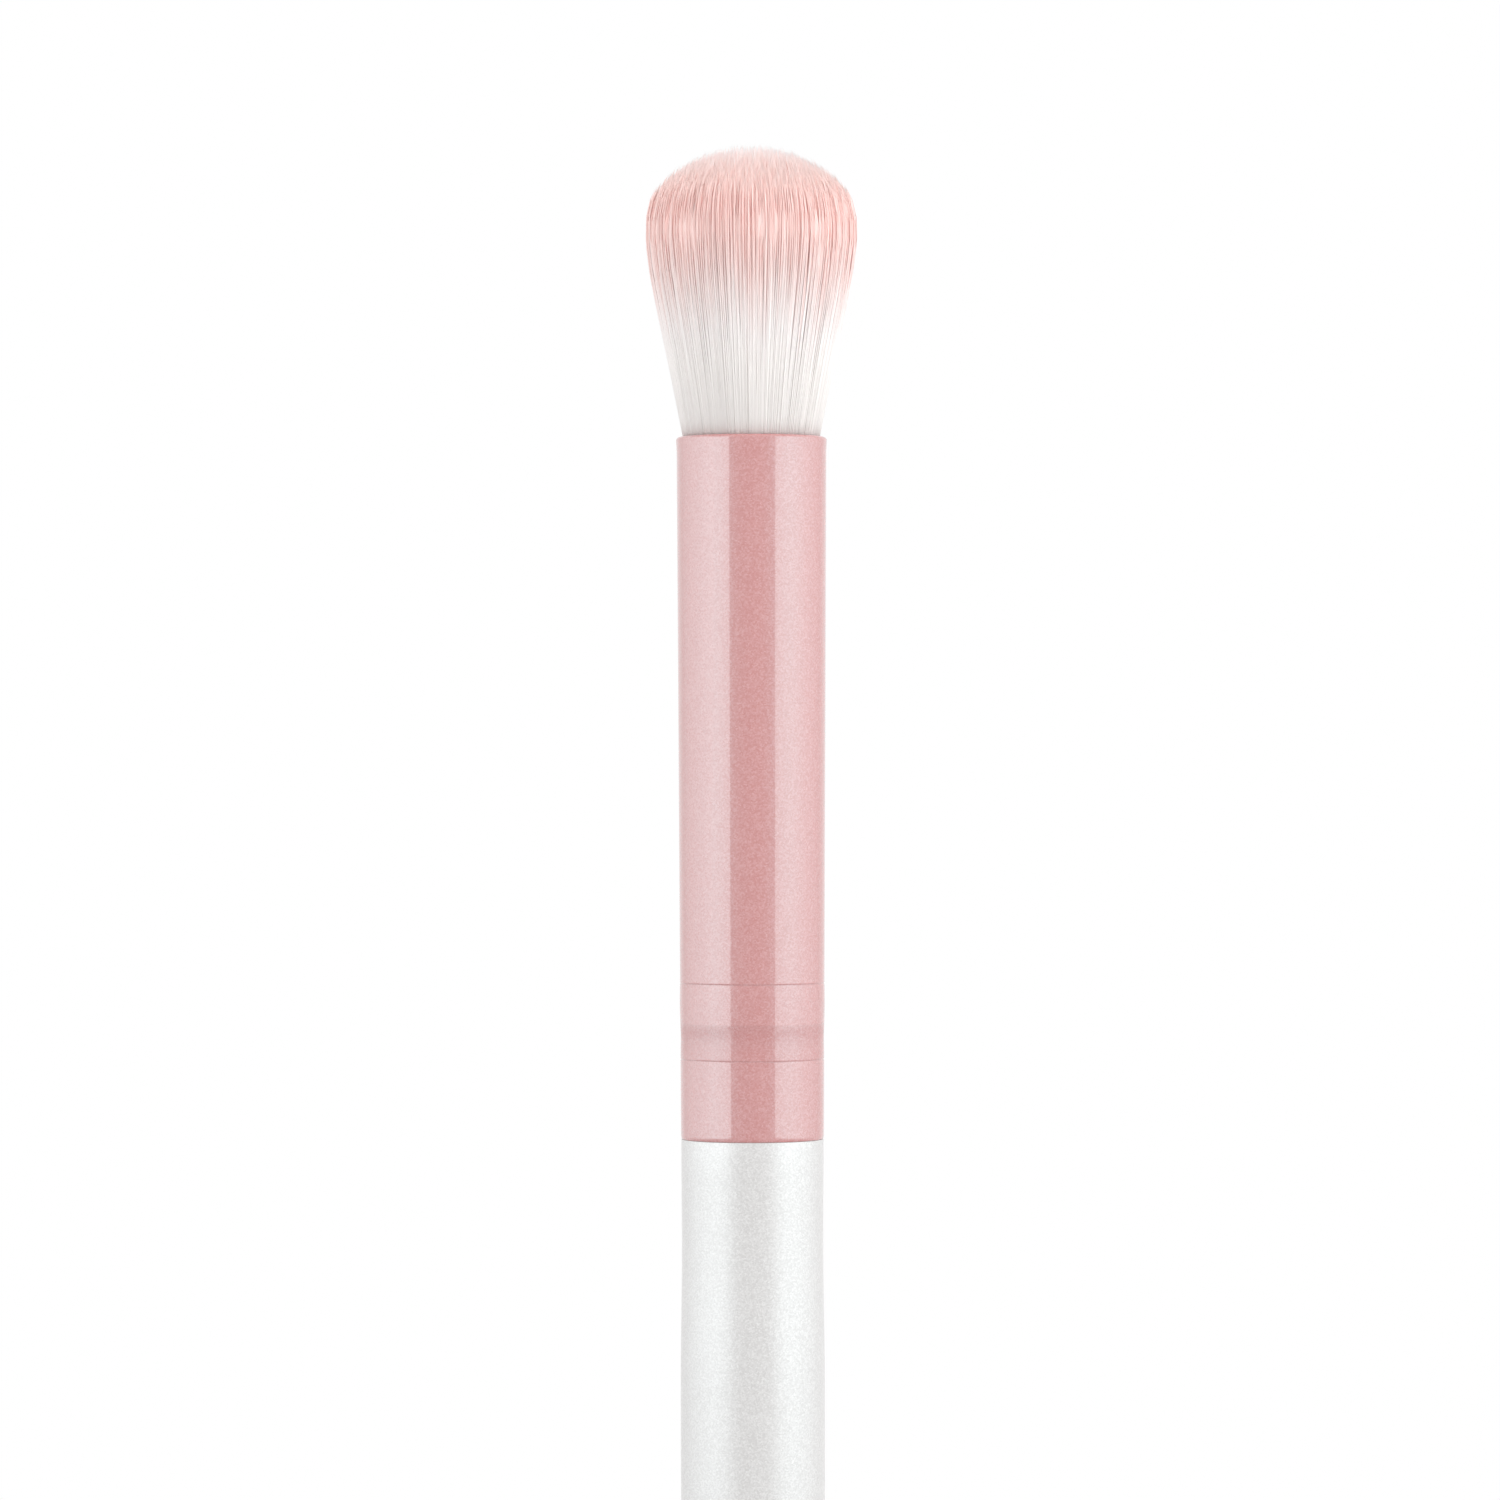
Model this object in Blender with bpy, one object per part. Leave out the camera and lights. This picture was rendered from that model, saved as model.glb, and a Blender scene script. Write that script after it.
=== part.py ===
"""Blending brush: a domed tuft of dip-dyed hair in a crimped ferrule, on a turned handle.

The brush stands on the small flat at its butt, with the tuft up along +Z. Lengths are in metres.
"""

import math
import random

import bmesh
import bpy
from mathutils import Vector

# Main lengths, from the butt up
HANDLE_LENGTH = 0.1250
FERRULE_LENGTH = 0.0375
TUFT_LENGTH = 0.0154

# Clearances between pieces
FIT_CLEARANCE = 0.00012
SEAT_GAP = 0.00015

# Ferrule tube
MOUTH_DIAMETER = 0.0080
FOOT_DIAMETER = 0.00763
FERRULE_WALL = 0.00035
LIP_TURN_IN = 0.00003
MOUTH_BEAD_LENGTH = 0.0009
MOUTH_BEAD_PROUD = 0.00003
MOUTH_ROUND_SHARE = 0.7
BORE_EDGE_SHARE = 0.2

# Ferrule crimps, stacked from the foot up
FOOT_LAND_LENGTH = 0.0043
GROOVE_LENGTH = 0.00195
BAND_LENGTH = 0.00214
GROOVE_DEPTH = 0.00005
BAND_BULGE = 0.00002
LINE_WIDTH = 0.00012
LINE_DEPTH = 0.00004

# Share of the groove's length above its lower edge, and share of its depth
GROOVE_SHARES = ((0.0, 0.15), (0.25, 0.45), (0.5, 0.85), (0.68, 1.0), (0.85, 0.55), (1.0, 0.0))

# Handle outside
BELLY_BELOW_SHOULDER = 0.0130
WAIST_BELOW_SHOULDER = 0.0055
BELLY_SWELL = 0.00005
WAIST_DRAW = 0.00003
SHOULDER_STEP = 0.00002
SHOULDER_CHAMFER = 0.00006
BUTT_DIAMETER = 0.0046
BUTT_ROUND_LENGTH = 0.0022
BUTT_FLAT_DIAMETER = 0.0020
TAPER_POWER = 1.7

# Handle tenon, in the ferrule
VOID_LENGTH = 0.0050
TENON_CHAMFER = 0.0006
GLUE_GROOVE_DEPTH = 0.0003
GLUE_START_SHARE = 0.25
GLUE_END_SHARE = 0.65

# Hair roots, stacked from the mouth down
MOUTH_RECESS = 0.0002
ROOT_FREE_LENGTH = 0.0060
THREAD_DIAMETER = 0.00035
THREAD_TURNS = 5
ROOT_LAND_LENGTH = 0.0010
RESIN_GRIP = 0.0035
RESIN_WALL = 0.0006
RESIN_FLOOR = 0.0020

# Tuft
WIDEST_RING_DIAMETER = 0.0115
DOME_HEIGHT = 0.0045
DOME_POWER = 2.0
OUTER_TIP_SHARE = 0.93
FAN_OVERRUN_SHARE = 1.05
CURL_POWER = 8
STRAND_RINGS = 8
STRAND_GAP = 0.00007
CELL_CENTRE_SHARE = 1 / 3

# Share of a strand's length, and of its width at the root
STRAND_LEVEL_SHARES = ((0.5, 1.4), (0.82, 1.15))

STRAND_UNEVEN_SHARE = 0.03
CELL_UNEVEN_SHARE = 0.12
STRAND_SEED = 7

# Display colours, from 0 to 255
PINK_PEARL = (232, 198, 199)
WHITE_PEARL = (238, 237, 236)
WHITE_HAIR = (232, 222, 219)
PINK_HAIR = (236, 197, 192)
THREAD_COLOUR = (226, 221, 208)
RESIN_COLOUR = (222, 200, 150)
GLUE_COLOUR = (214, 196, 150)

# Facets
HEXAGON_SIDES = 6
SIDES = HEXAGON_SIDES * STRAND_RINGS
ARC_STEPS = 5
TAPER_STEPS = 8
MERGE_DISTANCE = 0.000001

# Heights of the ferrule's ends above the butt
FOOT_HEIGHT = HANDLE_LENGTH + SEAT_GAP
MOUTH_HEIGHT = FOOT_HEIGHT + FERRULE_LENGTH

# Depths below the mouth
THREAD_LENGTH = THREAD_DIAMETER * THREAD_TURNS
TIE_GROOVE_LENGTH = THREAD_LENGTH + 2 * FIT_CLEARANCE
RESIN_TOP_DEPTH = ROOT_FREE_LENGTH + TIE_GROOVE_LENGTH + ROOT_LAND_LENGTH
ROOT_END_DEPTH = RESIN_TOP_DEPTH + RESIN_GRIP
RESIN_END_DEPTH = ROOT_END_DEPTH + FIT_CLEARANCE + RESIN_FLOOR

# Handle sizes that follow the ferrule
TENON_END = FERRULE_LENGTH - RESIN_END_DEPTH - VOID_LENGTH
CRIMP_SEAT_END = FOOT_LAND_LENGTH + GROOVE_LENGTH
SHOULDER_RADIUS = FOOT_DIAMETER / 2 - SHOULDER_STEP


def linear(channel):
    """One display colour channel, from 0 to 255, as linear light."""
    value = channel / 255
    if value <= 0.04045:
        return value / 12.92
    return ((value + 0.055) / 1.055) ** 2.4


def finish(name, colour, roughness, metallic=0.0):
    """A plain material from a display colour."""
    material = bpy.data.materials.new(name)
    material.use_nodes = True
    shader = material.node_tree.nodes["Principled BSDF"]
    rgba = [linear(channel) for channel in colour] + [1.0]
    shader.inputs["Base Color"].default_value = rgba
    shader.inputs["Roughness"].default_value = roughness
    shader.inputs["Metallic"].default_value = metallic
    material.diffuse_color = rgba
    return material


def placed(name, builder, height, parent, materials):
    """The mesh as a named object at a height on the brush's axis."""
    bmesh.ops.recalc_face_normals(builder, faces=builder.faces)
    mesh = bpy.data.meshes.new(name)
    builder.to_mesh(mesh)
    builder.free()
    for material in materials:
        mesh.materials.append(material)
    part = bpy.data.objects.new(name, mesh)
    bpy.context.scene.collection.objects.link(part)
    part.parent = parent
    part.location = (0, 0, height)
    return part


def turned(outline, ring=False):
    """A body turned about Z from (radius, height) points; a ring's outline closes on itself."""
    builder = bmesh.new()
    points = [builder.verts.new((radius, 0, height)) for radius, height in outline]
    pairs = list(zip(points, points[1:]))
    if ring:
        pairs.append((points[-1], points[0]))
    edges = [builder.edges.new(pair) for pair in pairs]
    bmesh.ops.spin(
        builder,
        geom=points + edges,
        cent=(0, 0, 0),
        axis=(0, 0, 1),
        angle=math.tau,
        steps=SIDES,
        use_merge=True,
    )
    bmesh.ops.remove_doubles(builder, verts=builder.verts, dist=MERGE_DISTANCE)
    return builder


def smooth(part, sharp_degrees=35):
    """Smooth shading with the real edges left sharp."""
    part.data.shade_smooth()
    part.data.set_sharp_from_angle(angle=math.radians(sharp_degrees))


def arc(centre, radii, start_degrees, end_degrees):
    """Points of a part of an ellipse about a (radius, height) centre."""
    found = []
    for step in range(ARC_STEPS + 1):
        share = step / ARC_STEPS
        angle = math.radians(start_degrees + (end_degrees - start_degrees) * share)
        across = centre[0] + radii[0] * math.cos(angle)
        found.append((across, centre[1] + radii[1] * math.sin(angle)))
    return found


def cone_radius(height):
    """Outer radius of the ferrule's plain cone at a height above its foot."""
    foot = FOOT_DIAMETER / 2
    return foot + (MOUTH_DIAMETER / 2 - foot) * height / FERRULE_LENGTH


def bore_radius(height):
    """Inner radius of the ferrule's plain cone at a height above its foot."""
    return cone_radius(height) - FERRULE_WALL


def tenon_radius():
    """Radius of the tenon: it passes the turned-in lip and the narrower end of its bore."""
    lip_radius = FOOT_DIAMETER / 2 - FERRULE_WALL - LIP_TURN_IN
    return min(lip_radius, bore_radius(TENON_END)) - FIT_CLEARANCE


def glue_groove():
    """Lower and upper height of the tenon's glue groove, in the free length over the crimp."""
    free = TENON_END - TENON_CHAMFER - CRIMP_SEAT_END
    return CRIMP_SEAT_END + free * GLUE_START_SHARE, CRIMP_SEAT_END + free * GLUE_END_SHARE


def scored_line(height):
    """A thin V line rolled into the ferrule."""
    half = LINE_WIDTH / 2
    return [
        (cone_radius(height - half), height - half),
        (cone_radius(height) - LINE_DEPTH, height),
        (cone_radius(height + half), height + half),
    ]


def groove_points(radius_at):
    """The rolled crimp groove on a wall whose plain radius is given by height."""
    start = FOOT_LAND_LENGTH + LINE_WIDTH
    length = GROOVE_LENGTH - LINE_WIDTH
    found = []
    for along_share, depth_share in GROOVE_SHARES:
        height = start + length * along_share
        found.append((radius_at(height) - GROOVE_DEPTH * depth_share, height))
    return found


def band_points():
    """The low raised band between the groove and the upper line."""
    start = FOOT_LAND_LENGTH + GROOVE_LENGTH
    found = []
    for step in range(1, ARC_STEPS):
        share = step / ARC_STEPS
        height = start + (BAND_LENGTH - LINE_WIDTH) * share
        found.append((cone_radius(height) + BAND_BULGE * math.sin(math.pi * share), height))
    return found


def make_ferrule(parent):
    """The tube: foot turned in, crimps, plain cone, bead at the mouth, then down the bore."""
    lip = FERRULE_WALL + LIP_TURN_IN
    foot = FOOT_DIAMETER / 2
    outline = arc((foot - lip, lip), (lip, lip), -90, 0)
    outline += scored_line(FOOT_LAND_LENGTH)
    outline += groove_points(cone_radius)
    outline += band_points()
    outline += scored_line(FOOT_LAND_LENGTH + GROOVE_LENGTH + BAND_LENGTH)

    bead_start = FERRULE_LENGTH - MOUTH_BEAD_LENGTH
    outline.append((cone_radius(bead_start), bead_start))
    corner = FERRULE_WALL * MOUTH_ROUND_SHARE
    edge = FERRULE_WALL * BORE_EDGE_SHARE
    mouth = MOUTH_DIAMETER / 2
    centre = (mouth + MOUTH_BEAD_PROUD - corner, FERRULE_LENGTH - corner)
    outline += arc(centre, (corner, corner), 0, 90)
    outline.append((mouth - FERRULE_WALL + edge, FERRULE_LENGTH))
    outline.append((mouth - FERRULE_WALL, FERRULE_LENGTH - edge))

    outline += reversed(groove_points(bore_radius))
    outline.append((bore_radius(lip), lip + LIP_TURN_IN))
    outline.append((foot - lip, FERRULE_WALL))
    coat = finish("pink_pearl_coat", PINK_PEARL, 0.3, 0.35)
    smooth(placed("ferrule", turned(outline, ring=True), FOOT_HEIGHT, parent, [coat]))


def handle_radius(height):
    """Radius of the handle at a height above the butt: a convex taper, then eased belly and waist."""
    belly_height = HANDLE_LENGTH - BELLY_BELOW_SHOULDER
    waist_height = HANDLE_LENGTH - WAIST_BELOW_SHOULDER
    belly = SHOULDER_RADIUS + BELLY_SWELL
    waist = SHOULDER_RADIUS - WAIST_DRAW
    if height <= belly_height:
        left = 1 - height / belly_height
        return belly - (belly - BUTT_DIAMETER / 2) * left**TAPER_POWER
    if height <= waist_height:
        share = (height - belly_height) / (waist_height - belly_height)
        return belly + (waist - belly) * (1 - math.cos(math.pi * share)) / 2
    share = (height - waist_height) / WAIST_BELOW_SHOULDER
    return waist + WAIST_DRAW * (1 - math.cos(math.pi * share)) / 2


def tenon_points():
    """The tenon from the shoulder up: crimp seat, glue groove and chamfered end."""
    tenon = tenon_radius()
    low, high = glue_groove()
    floor = tenon - GLUE_GROOVE_DEPTH
    found = [(tenon, -SEAT_GAP)]
    found += groove_points(lambda height: tenon)
    found += [(tenon, low), (floor, low + GLUE_GROOVE_DEPTH)]
    found += [(floor, high - GLUE_GROOVE_DEPTH), (tenon, high)]
    found += [(tenon, TENON_END - TENON_CHAMFER), (tenon - TENON_CHAMFER, TENON_END)]
    found.append((0, TENON_END))
    return [(radius, FOOT_HEIGHT + height) for radius, height in found]


def make_handle(parent):
    """The turned handle: rounded butt with a flat, long taper, belly, waist, shoulder, tenon."""
    flat = BUTT_FLAT_DIAMETER / 2
    round_radius = handle_radius(BUTT_ROUND_LENGTH)
    outline = [(0, 0)]
    radii = (round_radius - flat, BUTT_ROUND_LENGTH)
    outline += arc((flat, BUTT_ROUND_LENGTH), radii, -90, 0)
    belly_height = HANDLE_LENGTH - BELLY_BELOW_SHOULDER
    shoulder_start = HANDLE_LENGTH - SHOULDER_CHAMFER
    stops = [BUTT_ROUND_LENGTH, belly_height, HANDLE_LENGTH - WAIST_BELOW_SHOULDER, shoulder_start]
    counts = [TAPER_STEPS, ARC_STEPS, ARC_STEPS]
    for start, end, count in zip(stops, stops[1:], counts):
        for step in range(1, count + 1):
            height = start + (end - start) * step / count
            outline.append((handle_radius(height), height))
    outline.append((SHOULDER_RADIUS - SHOULDER_CHAMFER, HANDLE_LENGTH))
    outline += tenon_points()
    lacquer = finish("white_pearl_lacquer", WHITE_PEARL, 0.3)
    smooth(placed("handle", turned(outline), 0, parent, [lacquer]))


def make_tenon_glue(parent):
    """The ring of cured adhesive between the tenon's glue groove and the bore."""
    groove_low, groove_high = glue_groove()
    low = groove_low + GLUE_GROOVE_DEPTH + FIT_CLEARANCE
    high = groove_high - GLUE_GROOVE_DEPTH - FIT_CLEARANCE
    inner = tenon_radius() - GLUE_GROOVE_DEPTH + FIT_CLEARANCE
    outline = [
        (bore_radius(low) - FIT_CLEARANCE, low),
        (bore_radius(high) - FIT_CLEARANCE, high),
        (inner, high),
        (inner, low),
    ]
    glue = finish("cured_adhesive", GLUE_COLOUR, 0.45)
    smooth(placed("tenon_glue", turned(outline, ring=True), FOOT_HEIGHT, parent, [glue]))


def root_radius(depth):
    """Radius of the packed hair at a depth below the mouth."""
    return bore_radius(FERRULE_LENGTH - depth) - FIT_CLEARANCE


def foot_of_roots_radius():
    """Radius of the packed hair where the resin grips it."""
    return root_radius(RESIN_END_DEPTH) - RESIN_WALL - FIT_CLEARANCE


def make_root_tie(parent):
    """The turns of thread round the hair, drawn together into one ribbed ring."""
    top = ROOT_FREE_LENGTH + FIT_CLEARANCE
    outer = root_radius(top + THREAD_LENGTH)
    inner = outer - THREAD_DIAMETER
    valley = (outer + inner) / 2
    outline = [(inner, -top - THREAD_LENGTH), (valley, -top - THREAD_LENGTH)]
    for turn in range(THREAD_TURNS):
        low = -top - THREAD_LENGTH + THREAD_DIAMETER * turn
        outline.append((outer, low + THREAD_DIAMETER / 2))
        outline.append((valley, low + THREAD_DIAMETER))
    outline.append((inner, -top))
    thread = finish("binding_thread", THREAD_COLOUR, 0.8)
    smooth(placed("root_tie", turned(outline, ring=True), MOUTH_HEIGHT, parent, [thread]))


def make_resin_plug(parent):
    """The cup of resin round the hair's root ends, with a meniscus up its inner edge."""
    outer_top = root_radius(RESIN_TOP_DEPTH)
    outer_end = root_radius(RESIN_END_DEPTH)
    inner = foot_of_roots_radius() + FIT_CLEARANCE
    rim = -RESIN_TOP_DEPTH - FIT_CLEARANCE
    fall = RESIN_WALL / 2
    outline = [
        (0, -RESIN_END_DEPTH),
        (outer_end - RESIN_WALL, -RESIN_END_DEPTH),
        (outer_end, -RESIN_END_DEPTH + RESIN_WALL),
        (outer_top, rim),
        (inner + fall, rim),
        (inner, rim - fall),
        (inner, -ROOT_END_DEPTH - FIT_CLEARANCE),
        (0, -ROOT_END_DEPTH - FIT_CLEARANCE),
    ]
    resin = finish("cured_resin", RESIN_COLOUR, 0.25)
    smooth(placed("resin_plug", turned(outline), MOUTH_HEIGHT, parent, [resin]))


def root_outline():
    """The packed hair's side, from the mouth down: tie groove, land and the foot in the resin."""
    groove_top = ROOT_FREE_LENGTH
    groove_end = ROOT_FREE_LENGTH + TIE_GROOVE_LENGTH
    groove = root_radius(groove_end) - THREAD_DIAMETER - FIT_CLEARANCE
    foot = foot_of_roots_radius()
    return [
        (root_radius(groove_top), -groove_top),
        (groove, -groove_top),
        (groove, -groove_end),
        (root_radius(groove_end), -groove_end),
        (root_radius(RESIN_TOP_DEPTH), -RESIN_TOP_DEPTH),
        (foot, -RESIN_TOP_DEPTH),
        (foot, -ROOT_END_DEPTH),
    ]


def hexagon_to_disc(point, radius):
    """Maps a unit hexagon to a disc: shares of its rings and sides stay shares of rings and arcs."""
    if point.length < MERGE_DISTANCE:
        return Vector((0, 0, 0))
    sector = math.tau / HEXAGON_SIDES
    angle = math.atan2(point.x, point.y) % math.tau
    index = round(angle / sector - 0.5)
    from_middle = angle - sector * (index + 0.5)
    ring_share = point.length * math.cos(from_middle) / math.cos(sector / 2)
    side_share = math.tan(from_middle) / math.tan(sector / 2) / 2
    around = sector * (index + 0.5 + side_share)
    return Vector((math.sin(around), math.cos(around), 0)) * radius * ring_share


def strand_point(root, along, length_share, radius):
    """Centre of a strand that starts at a root point, at a share of its own length.

    It fans out in a straight line with height, and curls in near its tip, so the straight line
    overruns the widest ring. The tips lie on a superellipse dome, each at its root's share of the
    outermost tip's radius.
    """
    outermost = radius * (1 - CELL_CENTRE_SHARE / STRAND_RINGS)
    share = root.length / outermost
    widest = WIDEST_RING_DIAMETER / 2
    cut = 1 - (share * OUTER_TIP_SHARE) ** DOME_POWER
    tip_height = TUFT_LENGTH - DOME_HEIGHT + DOME_HEIGHT * cut ** (1 / DOME_POWER)
    tip_height = (tip_height + MOUTH_RECESS) * length_share
    fan_height = TUFT_LENGTH - DOME_HEIGHT + MOUTH_RECESS
    rise = (widest * FAN_OVERRUN_SHARE - outermost) / fan_height
    curl = outermost + rise * tip_height - widest * OUTER_TIP_SHARE
    spread = outermost + rise * tip_height * along - curl * along**CURL_POWER
    growth = spread / outermost
    return Vector((root.x * growth, root.y * growth, tip_height * along))


def strand_disc(builder, radius):
    """The top of the packed hair as a disc of triangular cells, one for each strand."""
    uneven = random.Random(STRAND_SEED)
    builder.faces.layers.int.new("strand")
    bmesh.ops.create_circle(
        builder, cap_ends=True, cap_tris=True, segments=HEXAGON_SIDES, radius=1
    )
    bmesh.ops.subdivide_edges(
        builder, edges=builder.edges[:], cuts=STRAND_RINGS - 1, use_grid_fill=True
    )
    sway = radius / STRAND_RINGS * CELL_UNEVEN_SHARE
    rim = {vert for vert in builder.verts if vert.is_boundary}
    for vert in builder.verts:
        vert.co = hexagon_to_disc(vert.co, radius)
        if vert not in rim:
            vert.co.x += sway * uneven.uniform(-1, 1)
            vert.co.y += sway * uneven.uniform(-1, 1)
        vert.co.z = -MOUTH_RECESS


def close_roots(builder):
    """Carries the disc's rim down the packed hair's side and caps its end."""
    rim = [edge for edge in builder.edges if edge.is_boundary]
    for radius, height in root_outline():
        made = bmesh.ops.extrude_edge_only(builder, edges=rim)["geom"]
        for item in made:
            if isinstance(item, bmesh.types.BMVert):
                flat = Vector((item.co.x, item.co.y, 0)).normalized()
                item.co = flat * radius + Vector((0, 0, height))
        rim = [item for item in made if isinstance(item, bmesh.types.BMEdge)]
    bmesh.ops.contextual_create(builder, geom=rim)


def raise_strands(builder, cells, radius):
    """Insets each cell, draws it up level by level and closes it in a pointed tip."""
    lengths = random.Random(STRAND_SEED + 1)
    strand = builder.faces.layers.int["strand"]
    bmesh.ops.inset_individual(
        builder, faces=cells, thickness=STRAND_GAP / 2, use_even_offset=True
    )
    roots, corners, length_shares = [], [], []
    for number, cell in enumerate(cells):
        cell[strand] = number
        centre = cell.calc_center_median()
        roots.append(Vector((centre.x, centre.y, 0)))
        corners.append([vert.co - centre for vert in cell.verts])
        length_shares.append(1 - STRAND_UNEVEN_SHARE * lengths.random())
    tops = cells
    for level, (along, width_share) in enumerate(STRAND_LEVEL_SHARES):
        tops = bmesh.ops.extrude_discrete_faces(builder, faces=tops)["faces"]
        for top in tops:
            number = top[strand]
            centre = strand_point(roots[number], along, length_shares[number], radius)
            for vert, corner in zip(top.verts, corners[number]):
                vert.co = centre + corner * width_share - Vector((0, 0, MOUTH_RECESS))
            for edge in top.edges:
                for side in edge.link_faces:
                    side.material_index = min(level, 1)
    for point in bmesh.ops.poke(builder, faces=tops)["verts"]:
        number = point.link_faces[0][strand]
        centre = strand_point(roots[number], 1, length_shares[number], radius)
        point.co = centre - Vector((0, 0, MOUTH_RECESS))
        for side in point.link_faces:
            side.material_index = 1


def make_bristle_tuft(parent):
    """The hair: strands that fan out and round over into a dome, one body with their roots."""
    builder = bmesh.new()
    radius = root_radius(MOUTH_RECESS)
    strand_disc(builder, radius)
    cells = builder.faces[:]
    close_roots(builder)
    bmesh.ops.recalc_face_normals(builder, faces=builder.faces)
    raise_strands(builder, cells, radius)
    white_hair = finish("white_hair", WHITE_HAIR, 0.6)
    pink_hair = finish("pink_dyed_hair", PINK_HAIR, 0.6)
    placed("bristle_tuft", builder, MOUTH_HEIGHT, parent, [white_hair, pink_hair])


def clear_scene():
    """Removes what the start-up scene holds."""
    for item in list(bpy.data.objects):
        bpy.data.objects.remove(item)


def main():
    clear_scene()
    brush = bpy.data.objects.new("brush", None)
    bpy.context.scene.collection.objects.link(brush)
    make_handle(brush)
    make_tenon_glue(brush)
    make_ferrule(brush)
    make_resin_plug(brush)
    make_root_tie(brush)
    make_bristle_tuft(brush)


main()
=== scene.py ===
"""Blending brush: the finished surfaces of its hair, ferrule and handle, in a plain white studio.

Lengths are in metres, and the brush stands upright on its butt at the origin. Each shape is a
function of two parameters, worked out as whole arrays.
"""

import math

import bpy
import numpy as np
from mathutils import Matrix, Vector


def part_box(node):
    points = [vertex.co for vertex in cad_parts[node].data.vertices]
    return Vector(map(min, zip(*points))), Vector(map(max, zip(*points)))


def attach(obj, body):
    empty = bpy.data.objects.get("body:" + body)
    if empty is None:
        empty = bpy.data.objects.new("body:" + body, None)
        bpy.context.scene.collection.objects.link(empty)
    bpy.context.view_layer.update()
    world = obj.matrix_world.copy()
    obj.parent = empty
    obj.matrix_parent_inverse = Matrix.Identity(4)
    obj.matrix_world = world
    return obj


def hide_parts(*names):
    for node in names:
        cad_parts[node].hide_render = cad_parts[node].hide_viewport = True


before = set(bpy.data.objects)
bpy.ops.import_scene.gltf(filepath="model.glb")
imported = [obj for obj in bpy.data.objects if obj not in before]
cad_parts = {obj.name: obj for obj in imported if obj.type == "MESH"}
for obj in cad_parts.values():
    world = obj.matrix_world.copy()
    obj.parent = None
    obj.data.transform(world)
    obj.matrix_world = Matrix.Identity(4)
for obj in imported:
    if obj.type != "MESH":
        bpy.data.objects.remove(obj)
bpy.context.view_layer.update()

MM = 0.001

# Heights and radii that the frame gives
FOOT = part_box("ferrule")[0].z
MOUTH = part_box("ferrule")[1].z
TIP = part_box("bristle_tuft")[1].z
ROOT_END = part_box("bristle_tuft")[0].z
TENON_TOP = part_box("handle")[1].z
TIE_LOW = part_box("root_tie")[0].z
TIE_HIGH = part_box("root_tie")[1].z
TIE_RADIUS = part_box("root_tie")[1].x
RESIN_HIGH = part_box("resin_plug")[1].z
FERRULE_LENGTH = MOUTH - FOOT
TUFT_LENGTH = TIP - MOUTH

# The photograph's view: rows and columns are pixels of the 1500 x 1500 picture
PICTURE_SIDE = 1500
PIXEL = 0.0533 * MM
TIP_ROW = 147
AXIS_COLUMN_AT_TIP = 751
AXIS_COLUMN_AT_BOTTOM = 753
CAMERA_DISTANCE = 346 * MM
SENSOR_WIDTH = 36

# Ferrule outside
MOUTH_RADIUS = 4.0 * MM
FOOT_RADIUS = 3.815 * MM
WALL = 0.35 * MM
FOOT_ROLL = 0.28 * MM
FOOT_INSET = 0.06 * MM
MOUTH_ROLL = 0.2 * MM
MOUTH_DROP = 0.11 * MM
BORE_EDGE = 0.07 * MM
BEAD_LENGTH = 0.9 * MM
BEAD_PROUD = 0.03 * MM

# Ferrule crimps, stacked from the foot up
FOOT_LAND = 4.25 * MM
GROOVE_LENGTH = 1.95 * MM
BAND_LENGTH = 2.1 * MM
GROOVE_DEPTH = 0.03 * MM
BAND_BULGE = 0.02 * MM
LINE_WIDTH = 0.08 * MM
LINE_DEPTH = 0.02 * MM
LINE_REACH = 1.5 * LINE_WIDTH
LINE_STEPS = 14
GROOVE_STEPS = 34
PLAIN_STEPS = 40

# Share of the groove's length above its lower edge, and share of its depth
GROOVE_SHARES = ((0.0, 0.15), (0.25, 0.45), (0.5, 0.85), (0.68, 1.0), (0.85, 0.55), (1.0, 0.0))

# Share of the crimps' length with a margin at both ends, and the weight of the gloss coat there,
# lowered in the groove so that its dimmer reflection paints shade there
CRIMP_MARGIN = 0.2 * MM
CRIMP_COAT_SHADES = (
    (0.045, 1.0),
    (0.07, 0.85),
    (0.264, 0.78),
    (0.343, 0.56),
    (0.404, 0.56),
    (0.483, 1.0),
)

# The same share, and how much of its colour the paint keeps there: painted shade in the groove and
# the two scored lines
CRIMP_PAINTED_SHADES = (
    (0.03, 1.0),
    (0.045, 0.88),
    (0.06, 0.99),
    (0.127, 0.99),
    (0.245, 0.96),
    (0.44, 0.93),
    (0.472, 0.93),
    (0.485, 1.0),
    (0.94, 1.0),
    (0.955, 0.86),
    (0.97, 1.0),
)

# Handle
SEAT_GAP = 0.15 * MM
SEAT_TOUCH = 0.01 * MM
SHOULDER = FOOT - SEAT_GAP
SHOULDER_RADIUS = 3.795 * MM
SHOULDER_CHAMFER = 0.03 * MM
BELLY_BELOW_SHOULDER = 13.0 * MM
WAIST_BELOW_SHOULDER = 5.5 * MM
BELLY_SWELL = 0.05 * MM
WAIST_DRAW = 0.03 * MM
BUTT_RADIUS = 2.3 * MM
BUTT_ROUND = 2.2 * MM
BUTT_FLAT_RADIUS = 1.0 * MM
TAPER_POWER = 1.7
TENON_RADIUS = 3.315 * MM
TENON_CHAMFER = 0.6 * MM
GLUE_GROOVE_DEPTH = 0.3 * MM
GLUE_LOW = 8.9 * MM
GLUE_HIGH = 13.4 * MM
TAPER_STEPS = 72

# Turned surfaces, and their places in the UV square
SIDES = 256
ROUND_STEPS = 16
EDGE_STEPS = 6
SHARP_DEGREES = 40
SIDE_SHARE = 0.92
LID_SHARE = 0.03
LID_COLUMNS = (0.25, 0.75)
LID_ROW = (1 + SIDE_SHARE) / 2

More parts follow.
